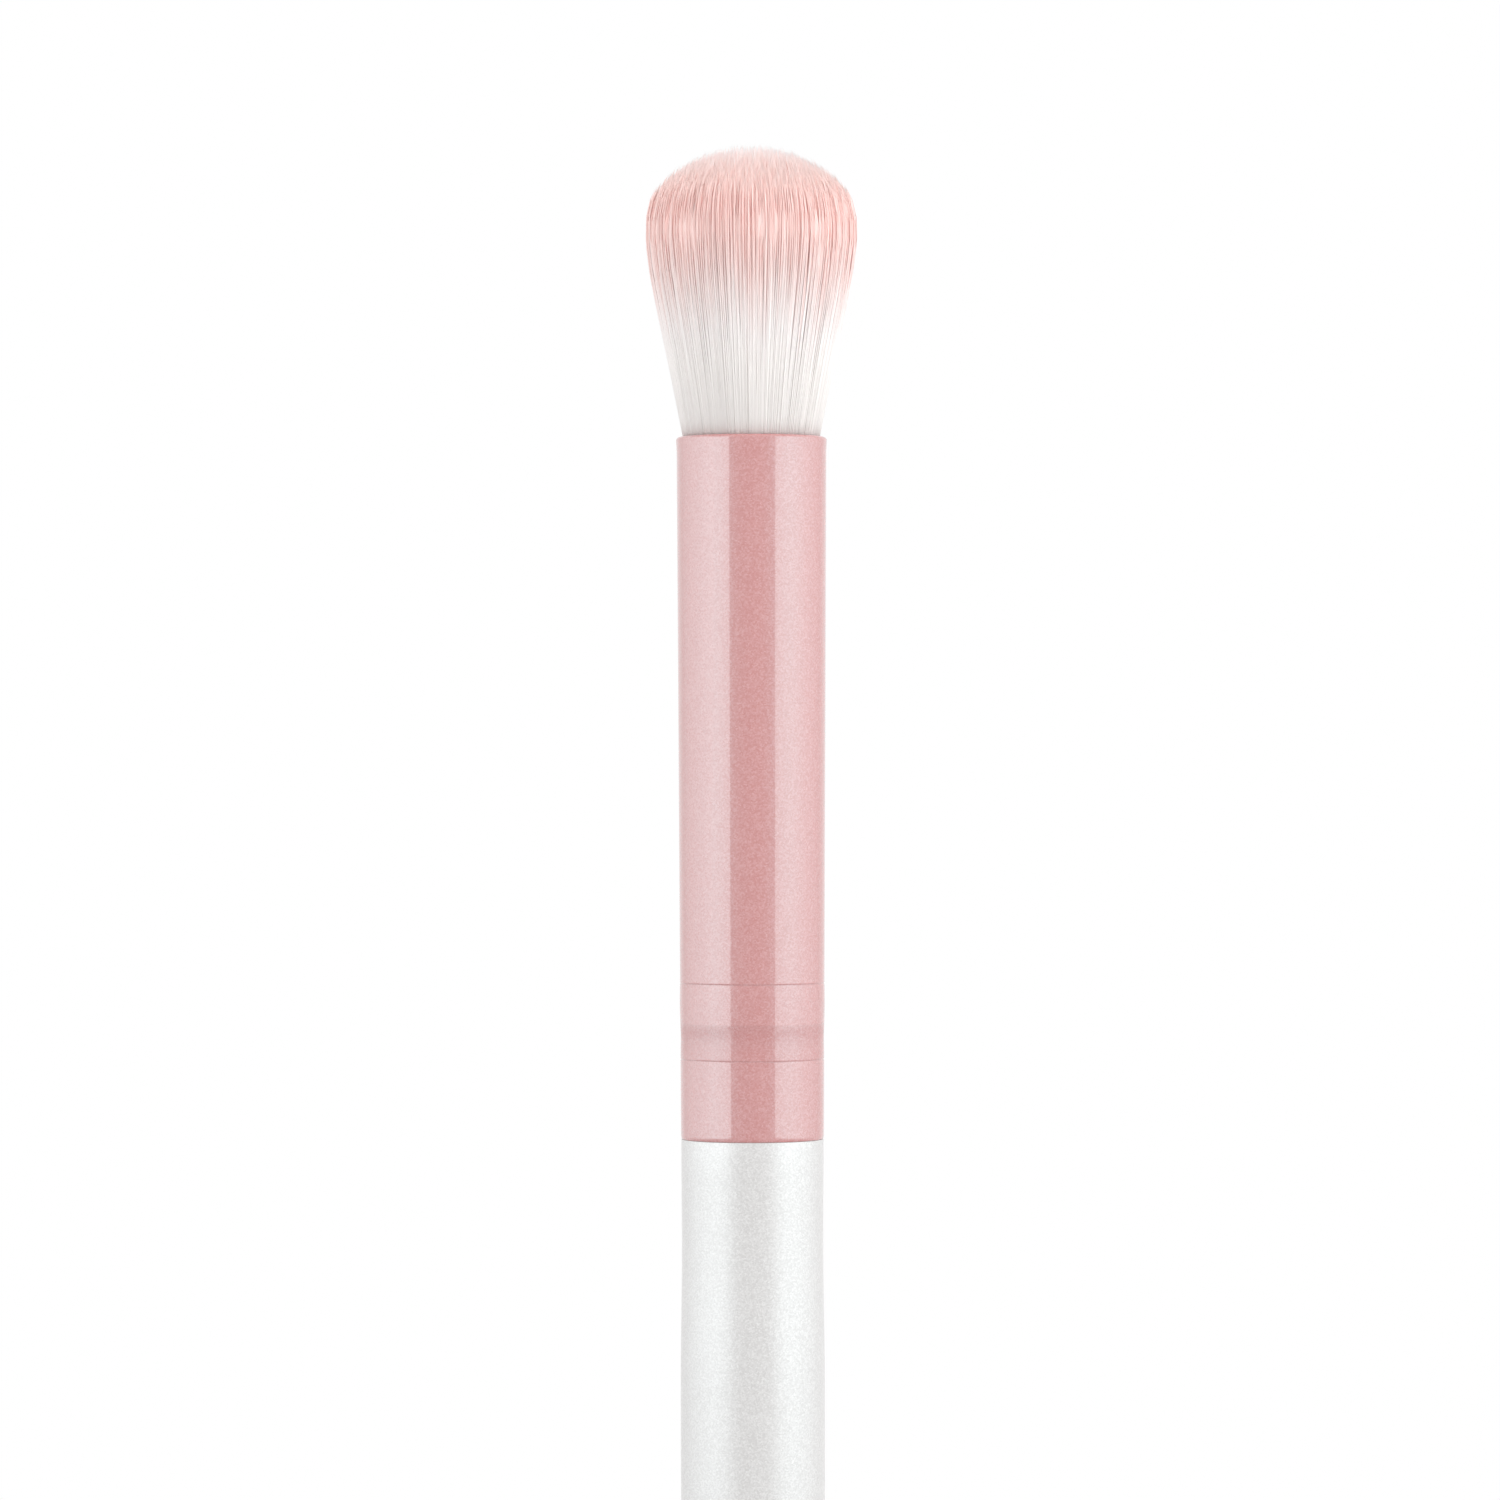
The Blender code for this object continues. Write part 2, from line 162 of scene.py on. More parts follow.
# Hair roots in the ferrule
THREAD_RADIUS = 0.175 * MM
THREAD_STEPS = 96
THREAD_SIDES = 12
THREAD_END_TURNS = 0.25
THREAD_END_SHARE = 0.25
ROOT_CLEARANCE = 0.12 * MM
ROOT_RADIUS = 3.53 * MM
RESIN_WALL = 0.6 * MM
ROOT_TOP_DEPTH = 0.5 * MM
FLUTES = 64
FLUTE_DEPTH = 0.025 * MM

# Tuft outline, and how its strands fan out and curl in
DOME_RADIUS = 6.0 * MM
DOME_LIFT = 0.26 * MM
DOME_HEIGHT = 4.53 * MM
DOME_POWER = 1.84
TIP_SHARE = 0.85
FAN_RISE = 0.2227
CURL_POWER = 8

# Body of the tuft
BODY_SHARE = 0.967
BODY_SIDE_LENGTH_SHARE = 0.79
BODY_TOP_LENGTH_SHARE = 0.93
BODY_CORNER_SHARE = 0.2
BODY_LENGTH_UNEVEN = 0.045
BODY_FALL_POWER = 4
BODY_CROWN_POWER = 6
BODY_HOLE_SHARE = 0.01
BODY_SIDE_STEPS = 44
BODY_CORNER_STEPS = 14
BODY_TOP_STEPS = 20
BODY_COLUMNS = 900
BODY_KNOTS = 6
BODY_WAVES = (
    (23, 0.02 * MM),
    (41, 0.02 * MM),
    (67, 0.015 * MM),
    (113, 0.009 * MM),
    (171, 0.007 * MM),
    (263, 0.005 * MM),
)
BODY_WAVE_RISE = 0.2
BODY_WAVE_DRIFT = 2
BODY_TONE_UNEVEN = 0.3

# Strands
SEED = 11
GOLDEN_ANGLE = math.pi * (3 - math.sqrt(5))
STRAND_COUNT = 22000
ROOT_POWER = 0.42
ROOT_UNEVEN = 0.25
STRAND_PIECES = (
    "core_hair",
    "heart_hair",
    "inner_hair",
    "mid_hair",
    "middle_hair",
    "outer_hair",
    "edge_hair",
    "rim_hair",
)
STRAND_SHARES = (0.0, 0.1, 0.25, 0.42, 0.56, 0.68, 0.79, 0.88, 0.95)
STRAND_SIDES = 4
STRAND_RADIUS = 0.037 * MM
STRAND_TAPER_FROM = 0.78
STRAND_TIP_SHARE = 0.48
STRAND_UNEVEN = 0.12
STRAND_START_DEPTH = 0.6 * MM
STRAND_START_POWER = 4
LENGTH_UNEVEN = 0.036
RIM_LENGTH_UNEVEN = 0.125
RIM_POWER = 4
SWAY = 0.07 * MM
SWAY_POWER = 1.5
LOOSE_SHARE = 0.15
LOOSE_SWAY = 1.0
WAVE = 0.025 * MM
WAVE_TURNS = (0.5, 1.6)
EDGE_HOLD = 0.85

# Clumps of strands
CLUMPS = 800
CLUMP_POWER = 0.5
CLUMP_UNEVEN = 0.5
CLUMP_PULL = 0.03
CLUMP_FULL_AT = 0.5
CLUMP_RELEASE = 0.3
CLUMP_LENGTH_UNEVEN = 0.006

# Shades of the hair
TONE_MIDDLE = 0.5
TONE_UNEVEN = 0.22
CLUMP_TONE_UNEVEN = 0.14
DYE_UNEVEN = 0.02
CLUMP_DYE_UNEVEN = 0.018
DYE_STRAY_SHARE = 0.08
DYE_STRAY = 0.08

# One strand's place in its cell of the UV square, and the corners of its lid in that place
CELL_TALLNESS = 2
CELL_START = (0.15, 0.18)
CELL_SPAN = (0.7, 0.75)
CELL_LID_U = (0.0, 0.3, 0.3, 0.0)
CELL_LID_V = (-0.12, -0.12, -0.04, -0.04)

# Share of the tuft's height above the mouth, and the display colour there: the pink dip-dye, with
# painted shade darkening the roots by the mouth and painted light brightening the tips
DYE_SHADE_AND_LIGHT_STOPS = (
    (0.0, (234, 230, 228)),
    (0.05, (233, 229, 227)),
    (0.12, (237, 233, 231)),
    (0.24, (244, 240, 238)),
    (0.34, (246, 241, 240)),
    (0.46, (245, 232, 230)),
    (0.60, (244, 218, 214)),
    (0.71, (246, 216, 211)),
    (0.76, (247, 216, 211)),
    (0.82, (250, 222, 217)),
    (0.89, (252, 226, 221)),
    (0.95, (255, 232, 228)),
    (1.0, (255, 242, 240)),
)

# Brightness and roughness of the hair, from the lowest tone to the highest
TONE_RANGE = (0.95, 1.01)
HAIR_ROUGHNESS = (0.55, 0.75)

# Grained materials: colour, fleck colour, fleck mix, cells per metre, roughness range, bump
GRAINS = {
    "pink_pearl_coat": ((191, 109, 106), (231, 183, 183), 0.6, 13000, (0.33, 0.45), 0.004 * MM),
    "white_pearl_lacquer": ((191, 189, 188), (250, 250, 250), 0.6, 13000, (0.3, 0.5), 0.006 * MM),
    "cured_resin": ((222, 200, 150), (236, 222, 184), 0.8, 3500, (0.2, 0.35), 0.02 * MM),
    "cured_adhesive": ((214, 196, 150), (230, 218, 182), 0.8, 3500, (0.4, 0.55), 0.02 * MM),
}

# Clouds of the grain per metre, as a share of its cells
CLOUD_SCALE = 0.7

# Fibrous materials: light and dark colour, fibres per metre, length share, roughness range, bump
FIBRES = {
    "drawn_aluminium": ((214, 214, 216), (186, 186, 190), 9000, 0.02, (0.3, 0.45), 0.002 * MM),
    "turned_birch": ((226, 203, 166), (196, 164, 120), 2600, 0.04, (0.6, 0.75), 0.01 * MM),
    "packed_hair": ((240, 235, 230), (205, 198, 192), 12000, 0.02, (0.45, 0.6), 0.01 * MM),
    "binding_thread": ((232, 227, 214), (196, 190, 174), 14000, 0.6, (0.75, 0.9), 0.01 * MM),
}

# Noise levels at which a fibre is wholly dark and wholly light
FIBRE_CONTRAST = (0.35, 0.65)

# Sockets of the mix node that take and give colours, and where a ramp's new stop starts
MIX_COLOURS = (6, 7)
MIX_RESULT = 2
NEW_STOP = 0.5

# Floor and light
FLOOR_COLOUR = (240, 240, 239)
FLOOR_ROUGHNESS = 0.9
FLOOR_RADIUS = 0.45
FLOOR_FADE_FROM = 0.18
FLOOR_DEPTH = 0.3 * MM
FILL_LEVEL = 0.82
LIGHT_BOUNCES = 24

# Softboxes: name, the directions where they start and end in degrees right, level, colour
SOFTBOX_DISTANCE = 0.5
SOFTBOX_BOTTOM = 0.02
SOFTBOX_TOP = 0.55
SOFTBOX_EVEN_SHARE = 0.35
SOFTBOX_FADE_POWER = 1.3
SOFTBOXES = (
    ("left_softbox", -34.5, -136, 2.15, (0.9, 1.0, 1.02)),
    ("right_softbox", 36.5, 130, 1.8, (0.87, 1.0, 1.02)),
)

# Round lamps: name, degrees right, degrees up, distance, diameter, level
ROUND_LAMPS = (
    ("front_fill", 0, 32, 0.7, 0.6, 0.4),
    ("right_tuft_lamp", 62, 16, 0.16, 0.2, 1.75),
    ("left_tuft_lamp", -72, 16, 0.16, 0.2, 0.75),
    ("top_lamp", 0, 75, 0.2, 0.16, 1.8),
)

# Display colours: full level, and the straight start and the power of their code
FULL_LEVEL = 255
CODE_BEND = 0.04045
CODE_SLOPE = 12.92
CODE_OFFSET = 0.055
CODE_POWER = 2.4


def linear(red, green, blue):
    """A display colour, from 0 to the full level, as linear light with full cover."""
    shares = np.array([red, green, blue]) / FULL_LEVEL
    low = shares / CODE_SLOPE
    high = ((shares + CODE_OFFSET) / (1 + CODE_OFFSET)) ** CODE_POWER
    return (*np.where(shares <= CODE_BEND, low, high).tolist(), 1.0)


def eased(values):
    """Shares from 0 to 1, with a slow start and a slow end."""
    held = np.clip(values, 0, 1)
    return held * held * (3 - 2 * held)


def circle(count):
    """Angles spread evenly round a circle."""
    return np.arange(count) * math.tau / count


def directions(angle):
    """The pair (cos a, sin a) for each angle a."""
    return np.stack([np.cos(angle), np.sin(angle)], axis=-1)


def arc(centre, radius, start_degrees, end_degrees, steps=ROUND_STEPS):
    """Rows of (radius, height) round a centre: the centre plus the radii times (cos a, sin a)."""
    angle = np.radians(np.linspace(start_degrees, end_degrees, steps + 1))
    return directions(angle) * radius + centre


# Mesh makers


def mesh_piece(name, points, corners, sizes, materials, slots=None, uv=None):
    """A named mesh from whole arrays.

    points has a row for each vertex. corners holds the vertex numbers of all faces end to end, and
    sizes says how many of them each face takes. uv has a row for each corner.
    """
    mesh = bpy.data.meshes.new(name)
    mesh.vertices.add(len(points))
    mesh.vertices.foreach_set("co", points.astype(np.float32).ravel())
    mesh.loops.add(len(corners))
    mesh.loops.foreach_set("vertex_index", corners.astype(np.int32))
    mesh.polygons.add(len(sizes))
    starts = np.cumsum(sizes) - sizes
    mesh.polygons.foreach_set("loop_start", starts.astype(np.int32))
    mesh.update(calc_edges=True)
    if slots is not None:
        mesh.polygons.foreach_set("material_index", slots.astype(np.int32))
    if uv is not None:
        layer = mesh.uv_layers.new(name="OFBake")
        layer.data.foreach_set("uv", uv.astype(np.float32).ravel())
    for material in materials:
        mesh.materials.append(material)
    mesh.shade_smooth()
    piece = bpy.data.objects.new(name, mesh)
    bpy.context.scene.collection.objects.link(piece)
    return piece


def grid_faces(columns, rows, wrap_rows):
    """Quads of a grid that closes round its columns, and round its rows too if asked.

    The vertex at a column and row has the number column * rows + row. Returned are the quads'
    corners, and the column and the row that each quad starts from.
    """
    column, row = np.meshgrid(
        np.arange(columns), np.arange(rows if wrap_rows else rows - 1), indexing="ij"
    )
    beside = (column + 1) % columns
    above = (row + 1) % rows
    quads = np.stack(
        [
            column * rows + row,
            beside * rows + row,
            beside * rows + above,
            column * rows + above,
        ],
        axis=-1,
    )
    return quads.reshape(-1, 4), column.ravel(), row.ravel()


def quad_uv(columns, column, row, along):
    """UV of the quads' corners: the share of the way round, and the value of each row in along."""
    across = np.stack([column, column + 1, column + 1, column], axis=-1) / columns
    up = np.stack([along[row], along[row], along[row + 1], along[row + 1]], axis=-1)
    return np.stack([across, up], axis=-1).reshape(-1, 2)


def side_faces(columns, along, ring=False):
    """Corners, sizes and UV of the faces of a side that closes round its columns, and their rows.

    along holds each row's second UV coordinate. A ring also closes from its last row to its first,
    and any other side has a flat lid at each end, which counts as part of the row beside it.
    """
    rows = len(along) - 1 if ring else len(along)
    quads, column, row = grid_faces(columns, rows, ring)
    corners = [quads.ravel()]
    sizes = [np.full(len(quads), 4)]
    uv = [quad_uv(columns, column, row, along)]
    if not ring:
        turn = np.arange(columns)
        rim = directions(circle(columns)) * LID_SHARE
        for order, end, middle in zip((turn[::-1], turn), (0, rows - 1), LID_COLUMNS):
            corners.append(order * rows + end)
            sizes.append([columns])
            uv.append(rim[order] + [middle, LID_ROW])
        row = np.append(row, [0, rows - 2])
    return np.concatenate(corners), np.concatenate(sizes), np.concatenate(uv), row


def around(radius, angle, height):
    """Points in columns round Z: each lies at its radius in the direction (cos a, sin a)."""
    across = radius[..., None] * directions(angle)[:, None]
    up = np.broadcast_to(height, radius.shape)
    return np.concatenate([across, up[..., None]], axis=-1).reshape(-1, 3)


def turned(name, profile, materials, row_slots=None, ring=False, flutes=0, flute_depth=0.0):
    """A surface turned about Z from rows of (radius, height).

    The point at angle a and profile row k lies at the radius of row k, less the flute depth times
    half of 1 - cos(flutes * a), in the direction (cos a, sin a). A ring's profile closes on itself,
    and any other one is closed by a flat lid at each end.
    """
    radius, height = profile.T
    angle = circle(SIDES)
    drop = flute_depth * (1 - np.cos(flutes * angle)) / 2
    points = around(radius - drop[:, None], angle, height)
    loop = np.vstack([profile, profile[:1]]) if ring else profile
    along = np.concatenate([[0], np.cumsum(np.hypot(*np.diff(loop, axis=0).T))])
    along *= SIDE_SHARE / along[-1]
    corners, sizes, uv, row = side_faces(SIDES, along, ring)
    slots = None if row_slots is None else row_slots[row]
    piece = mesh_piece(name, points, corners, sizes, materials, slots, uv)
    piece.data.set_sharp_from_angle(angle=math.radians(SHARP_DEGREES))
    return piece


def tube(name, centres, outward, radii, materials):
    """A round tube along a path, closed by a flat lid at each end.

    The point at path step k and angle a lies at the centre of step k, plus its radius times
    cos a along the outward direction and sin a along +Z.
    """
    angle = circle(THREAD_SIDES)[:, None, None]
    ring = np.cos(angle) * outward + np.sin(angle) * np.array([0.0, 0.0, 1.0])
    points = (centres + ring * radii[:, None]).reshape(-1, 3)
    along = np.linspace(0, SIDE_SHARE, len(centres))
    corners, sizes, uv, _ = side_faces(THREAD_SIDES, along)
    return mesh_piece(name, points, corners, sizes, materials, uv=uv)


# Material makers


def add(tree, kind, inputs=(), **settings):
    """A node with its settings, and its inputs as (name or place, value or socket) pairs."""
    node = tree.nodes.new(kind)
    for name, value in settings.items():
        setattr(node, name, value)
    for name, value in inputs:
        if isinstance(value, bpy.types.NodeSocket):
            tree.links.new(value, node.inputs[name])
        else:
            node.inputs[name].default_value = value
    return node


def math_node(tree, operation, first, second=0.0):
    """The result of a sum on two values or sockets."""
    inputs = ((0, first), (1, second))
    return add(tree, "ShaderNodeMath", inputs, operation=operation).outputs[0]


def mixed_colour(tree, share, first, second, blend="MIX"):
    """A mix of two colours or colour sockets."""
    inputs = ((0, share), *zip(MIX_COLOURS, (first, second)))
    mix = add(tree, "ShaderNodeMix", inputs, data_type="RGBA", blend_type=blend)
    return mix.outputs[MIX_RESULT]


def ranged(tree, value, source=(0.0, 1.0), target=(0.0, 1.0), **settings):
    """A value carried from its range to another one, and held inside it."""
    labels = ("From Min", "From Max", "To Min", "To Max")
    inputs = (("Value", value), *zip(labels, (*source, *target)))
    return add(tree, "ShaderNodeMapRange", inputs, **settings).outputs[0]


def coordinate(tree, vector, axis):
    """One coordinate of a vector socket."""
    return add(tree, "ShaderNodeSeparateXYZ", (("Vector", vector),)).outputs[axis]


def effect_group(name, inputs, outputs):
    """A new shader node group with named sockets, given as (name, socket type, value)."""
    tree = bpy.data.node_groups.new(name, "ShaderNodeTree")
    for label, kind, value in inputs:
        socket = tree.interface.new_socket(label, in_out="INPUT", socket_type=kind)
        if value is not None:
            socket.default_value = value
    for label, kind in outputs:
        tree.interface.new_socket(label, in_out="OUTPUT", socket_type=kind)
    start = tree.nodes.new("NodeGroupInput")
    end = tree.nodes.new("NodeGroupOutput")
    return tree, start.outputs, end.inputs


def pearl_grain_group():
    """Mica flakes under lacquer: each cell of the paint takes its own shade and its own tilt."""
    tree, given, result = effect_group(
        "pearl_grain",
        (
            ("Vector", "NodeSocketVector", None),
            ("Colour", "NodeSocketColor", (1, 1, 1, 1)),
            ("Fleck Colour", "NodeSocketColor", (1, 1, 1, 1)),
            ("Fleck Mix", "NodeSocketFloat", 0.5),
            ("Cells Per Metre", "NodeSocketFloat", 10000.0),
        ),
        (
            ("Colour", "NodeSocketColor"),
            ("Shade", "NodeSocketFloat"),
            ("Height", "NodeSocketFloat"),
        ),
    )
    place, scale = given["Vector"], given["Cells Per Metre"]
    cells = add(tree, "ShaderNodeTexVoronoi", (("Vector", place), ("Scale", scale)))
    shade = add(tree, "ShaderNodeSeparateColor", (("Color", cells.outputs["Color"]),))
    wide = math_node(tree, "MULTIPLY", scale, CLOUD_SCALE)
    cloud = add(
        tree, "ShaderNodeTexNoise", (("Vector", place), ("Scale", wide), ("Detail", 2.0))
    )
    both = math_node(tree, "MULTIPLY", shade.outputs["Red"], cloud.outputs["Fac"])
    share = math_node(tree, "MULTIPLY", both, given["Fleck Mix"])
    colour = mixed_colour(tree, share, given["Colour"], given["Fleck Colour"])
    tree.links.new(colour, result["Colour"])
    tree.links.new(shade.outputs["Green"], result["Shade"])
    tree.links.new(cloud.outputs["Fac"], result["Height"])
    return tree


def fibre_group():
    """Lengthwise fibres: noise drawn out along Z, as a colour and a height."""
    tree, given, result = effect_group(
        "lengthwise_fibre",
        (
            ("Vector", "NodeSocketVector", None),
            ("Light Colour", "NodeSocketColor", (1, 1, 1, 1)),
            ("Dark Colour", "NodeSocketColor", (0, 0, 0, 1)),
            ("Fibres Per Metre", "NodeSocketFloat", 4000.0),
            ("Length Share", "NodeSocketFloat", 0.05),
        ),
        (("Colour", "NodeSocketColor"), ("Height", "NodeSocketFloat")),
    )
    stretch = add(
        tree,
        "ShaderNodeCombineXYZ",
        (("X", 1.0), ("Y", 1.0), ("Z", given["Length Share"])),
    )
    drawn = add(
        tree,
        "ShaderNodeVectorMath",
        ((0, given["Vector"]), (1, stretch.outputs[0])),
        operation="MULTIPLY",
    )
    noise = add(
        tree,
        "ShaderNodeTexNoise",
        (
            ("Vector", drawn.outputs[0]),
            ("Scale", given["Fibres Per Metre"]),
            ("Detail", 3.0),
            ("Roughness", 0.6),
        ),
    )
    contrast = ranged(tree, noise.outputs["Fac"], FIBRE_CONTRAST)
    colour = mixed_colour(tree, contrast, given["Dark Colour"], given["Light Colour"])
    tree.links.new(colour, result["Colour"])
    tree.links.new(contrast, result["Height"])
    return tree


def new_material(name, **values):
    """A material with its node tree, its shader and its Object coordinates."""
    material = bpy.data.materials.new(name)
    material.use_nodes = True
    tree = material.node_tree
    shader = tree.nodes["Principled BSDF"]
    for label, value in values.items():
        shader.inputs[label.replace("_", " ")].default_value = value
    place = tree.nodes.new("ShaderNodeTexCoord").outputs["Object"]
    return material, tree, shader, place


def surfaced(tree, shader, colour, spread, roughness, height=None, bump=0.0):
    """Feeds the shader's colour, its roughness from a value, and its normal from a height."""
    tree.links.new(colour, shader.inputs["Base Color"])
    tree.links.new(ranged(tree, spread, target=roughness), shader.inputs["Roughness"])
    if height is not None:
        inputs = (("Height", height), ("Distance", bump), ("Strength", 1.0))
        normal = add(tree, "ShaderNodeBump", inputs).outputs["Normal"]
        tree.links.new(normal, shader.inputs["Normal"])


def colour_ramp(tree, share, stops):
    """A colour read from stops of (share, linear colour). New stops start between the ends."""
    ramp = add(tree, "ShaderNodeValToRGB", (("Fac", share),))
    while len(ramp.color_ramp.elements) < len(stops):
        ramp.color_ramp.elements.new(NEW_STOP)
    for element, (position, colour) in zip(ramp.color_ramp.elements, stops):
        element.position = position
        element.color = colour
    return ramp.outputs["Color"]


def crimp_ramp(tree, place, stops):
    """A weight read from stops by the height in the ferrule's crimps."""
    low = FOOT + FOOT_LAND - CRIMP_MARGIN
    high = FOOT + FOOT_LAND + GROOVE_LENGTH + BAND_LENGTH + CRIMP_MARGIN
    share = ranged(tree, coordinate(tree, place, "Z"), (low, high))
    return colour_ramp(tree, share, [(at, (weight, weight, weight, 1.0)) for at, weight in stops])


def grained(name, pearl, tones=None, **values):
    """A material with the grain of its row in the table, and with painted shade darkening it at the
    crimps if asked.

    Returned too are its node tree, its shader and its coordinates.
    """
    plain, fleck, mix, cells, roughness, bump = GRAINS[name]
    material, tree, shader, place = new_material(name, **values)
    inputs = (
        ("Vector", place),
        ("Colour", linear(*plain)),
        ("Fleck Colour", linear(*fleck)),
        ("Fleck Mix", mix),
        ("Cells Per Metre", cells),
    )
    grain = add(tree, "ShaderNodeGroup", inputs, node_tree=pearl).outputs
    colour = grain["Colour"]
    if tones is not None:
        # painted shade: the colour is darkened at the crimps' groove and scored lines
        colour = mixed_colour(tree, 1.0, colour, crimp_ramp(tree, place, tones), "MULTIPLY")
    surfaced(tree, shader, colour, grain["Shade"], roughness, grain["Height"], bump)
    return material, tree, shader, place


def fibrous(name, fibre, **values):
    """A material with the fibres of its row in the table."""
    light, dark, fibres, length_share, roughness, bump = FIBRES[name]
    material, tree, shader, place = new_material(name, **values)
    inputs = (
        ("Vector", place),
        ("Light Colour", linear(*light)),
        ("Dark Colour", linear(*dark)),
        ("Fibres Per Metre", fibres),
        ("Length Share", length_share),
    )
    lines = add(tree, "ShaderNodeGroup", inputs, node_tree=fibre).outputs
    surfaced(tree, shader, lines["Colour"], lines["Height"], roughness, lines["Height"], bump)
    return material


def pink_pearl_coat(pearl):
    """Rose paint with mica in it, under a gloss coat, with painted shade in the crimps: the paint is
    darker and the coat thinner there.
    """
    material, tree, shader, place = grained(
        "pink_pearl_coat",
        pearl,
        CRIMP_PAINTED_SHADES,
        Specular_IOR_Level=1.0,
        Specular_Tint=(0.12, 0.95, 1.0, 1.0),
        Coat_Roughness=0.04,
        Coat_IOR=1.72,
    )
    # painted shade: the gloss coat is thinned in the crimps' groove to dim its reflection there
    tree.links.new(crimp_ramp(tree, place, CRIMP_COAT_SHADES), shader.inputs["Coat Weight"])
    return material


def white_pearl_lacquer(pearl):
    """Satin white lacquer with mica in it."""
    return grained(
        "white_pearl_lacquer",
        pearl,
        Specular_IOR_Level=0.2,
        Coat_Weight=1.0,
        Coat_Roughness=0.35,
        Coat_IOR=2.12,
    )[0]


def dyed_hair():
    """Fine synthetic hair, white at the roots and dip-dyed pink, each strand a little different. The
    colour by height has painted shade at the roots and painted light at the tips.
    """
    material, tree, shader, place = new_material("dyed_hair", Specular_IOR_Level=0.2)
    share = ranged(tree, coordinate(tree, place, "Z"), (MOUTH, TIP))
    shift = add(tree, "ShaderNodeAttribute", attribute_name="dye_shift").outputs["Fac"]
    tone = add(tree, "ShaderNodeAttribute", attribute_name="tone").outputs["Fac"]
    dipped = math_node(tree, "ADD", share, shift)
    # the dip-dye, plus painted shade at the roots and painted light at the tips
    dye = colour_ramp(tree, dipped, [(at, linear(*colour)) for at, colour in DYE_SHADE_AND_LIGHT_STOPS])
    shade = ranged(tree, tone, target=TONE_RANGE)
    grey = add(
        tree, "ShaderNodeCombineColor", (("Red", shade), ("Green", shade), ("Blue", shade))
    ).outputs[0]
    colour = mixed_colour(tree, 1.0, dye, grey, "MULTIPLY")
    surfaced(tree, shader, colour, tone, HAIR_ROUGHNESS)
    return material


# Ferrule


def cone_radius(height):
    """Radius of the ferrule's plain cone at heights above its foot."""
    return FOOT_RADIUS + (MOUTH_RADIUS - FOOT_RADIUS) * height / FERRULE_LENGTH


def crimped_radius(height):
    """Radius of the ferrule's outside at heights above its foot.

    The cone, less two scored lines that fall away as exp(-x * x), less the rolled groove, whose
    depth follows its shares, plus the band, which swells as half a sine wave.
    """
    groove_low = FOOT_LAND
    groove_high = groove_low + GROOVE_LENGTH
    band_high = groove_high + BAND_LENGTH
    radius = cone_radius(height)
    for line in (groove_low, band_high):
        radius = radius - LINE_DEPTH * np.exp(-(((height - line) / (LINE_WIDTH / 2)) ** 2))
    along, depth = np.array(GROOVE_SHARES).T
    fall = np.interp((height - groove_low) / GROOVE_LENGTH, along, depth, left=0, right=0)
    swell = np.sin(math.pi * np.clip((height - groove_high) / BAND_LENGTH, 0, 1))
    return radius - GROOVE_DEPTH * fall + BAND_BULGE * swell


def make_ferrule(coat, metal):
    """The tube: rolled foot, crimps, plain cone and rolled mouth outside, bare metal inside."""
    band_high = FOOT_LAND + GROOVE_LENGTH + BAND_LENGTH
    bead_low = FERRULE_LENGTH - BEAD_LENGTH
    heights = np.unique(
        np.concatenate(
            [
                np.linspace(FOOT_ROLL, bead_low, PLAIN_STEPS),
                np.linspace(FOOT_LAND - LINE_REACH, FOOT_LAND + LINE_REACH, LINE_STEPS),
                np.linspace(FOOT_LAND, band_high, GROOVE_STEPS),
                np.linspace(band_high - LINE_REACH, band_high + LINE_REACH, LINE_STEPS),
            ]
        )
    )
    foot = arc((FOOT_RADIUS - FOOT_INSET, FOOT_ROLL), (FOOT_INSET, FOOT_ROLL), -90, 0)
    outside = np.stack([crimped_radius(heights), heights], axis=-1)
    rolled = MOUTH_RADIUS + BEAD_PROUD - MOUTH_ROLL
    top = FERRULE_LENGTH - MOUTH_DROP
    mouth = arc((rolled, top - MOUTH_ROLL), MOUTH_ROLL, 0, 90)
    bore = MOUTH_RADIUS - WALL
    bore_edge = arc((bore + BORE_EDGE, top - BORE_EDGE), BORE_EDGE, 90, 180, EDGE_STEPS)
    painted = np.concatenate([foot, outside[1:], mouth, bore_edge])
    inside = outside[::-1] - [WALL, 0]
    lip_radius = FOOT_RADIUS - FOOT_ROLL
    lip = np.array([(lip_radius, WALL), (lip_radius, 0)])
    profile = np.concatenate([painted, inside, lip])
    slots = np.where(np.arange(len(profile)) < len(painted), 0, 1)
    profile[:, 1] += FOOT
    return turned("ferrule_shell", profile, [coat, metal], slots, ring=True)


# Handle


def handle_radius(height):
    """Radius of the handle at heights above the butt.

    Up to the belly it is the belly's radius, less its lead over the butt times the share of the
    way left, raised to the taper's power. Above it, half cosine waves lead to the waist and up to
    the shoulder.
    """
    belly_height = SHOULDER - BELLY_BELOW_SHOULDER
    waist_height = SHOULDER - WAIST_BELOW_SHOULDER
    belly = SHOULDER_RADIUS + BELLY_SWELL
    waist = SHOULDER_RADIUS - WAIST_DRAW
    left = 1 - np.clip(height / belly_height, 0, 1)
    taper = belly - (belly - BUTT_RADIUS) * left**TAPER_POWER
    to_waist = np.clip((height - belly_height) / (waist_height - belly_height), 0, 1)
    to_shoulder = np.clip((height - waist_height) / WAIST_BELOW_SHOULDER, 0, 1)
    drawn = (belly - waist) * (1 - np.cos(math.pi * to_waist)) / 2
    risen = WAIST_DRAW * (1 - np.cos(math.pi * to_shoulder)) / 2
    return taper - drawn + risen


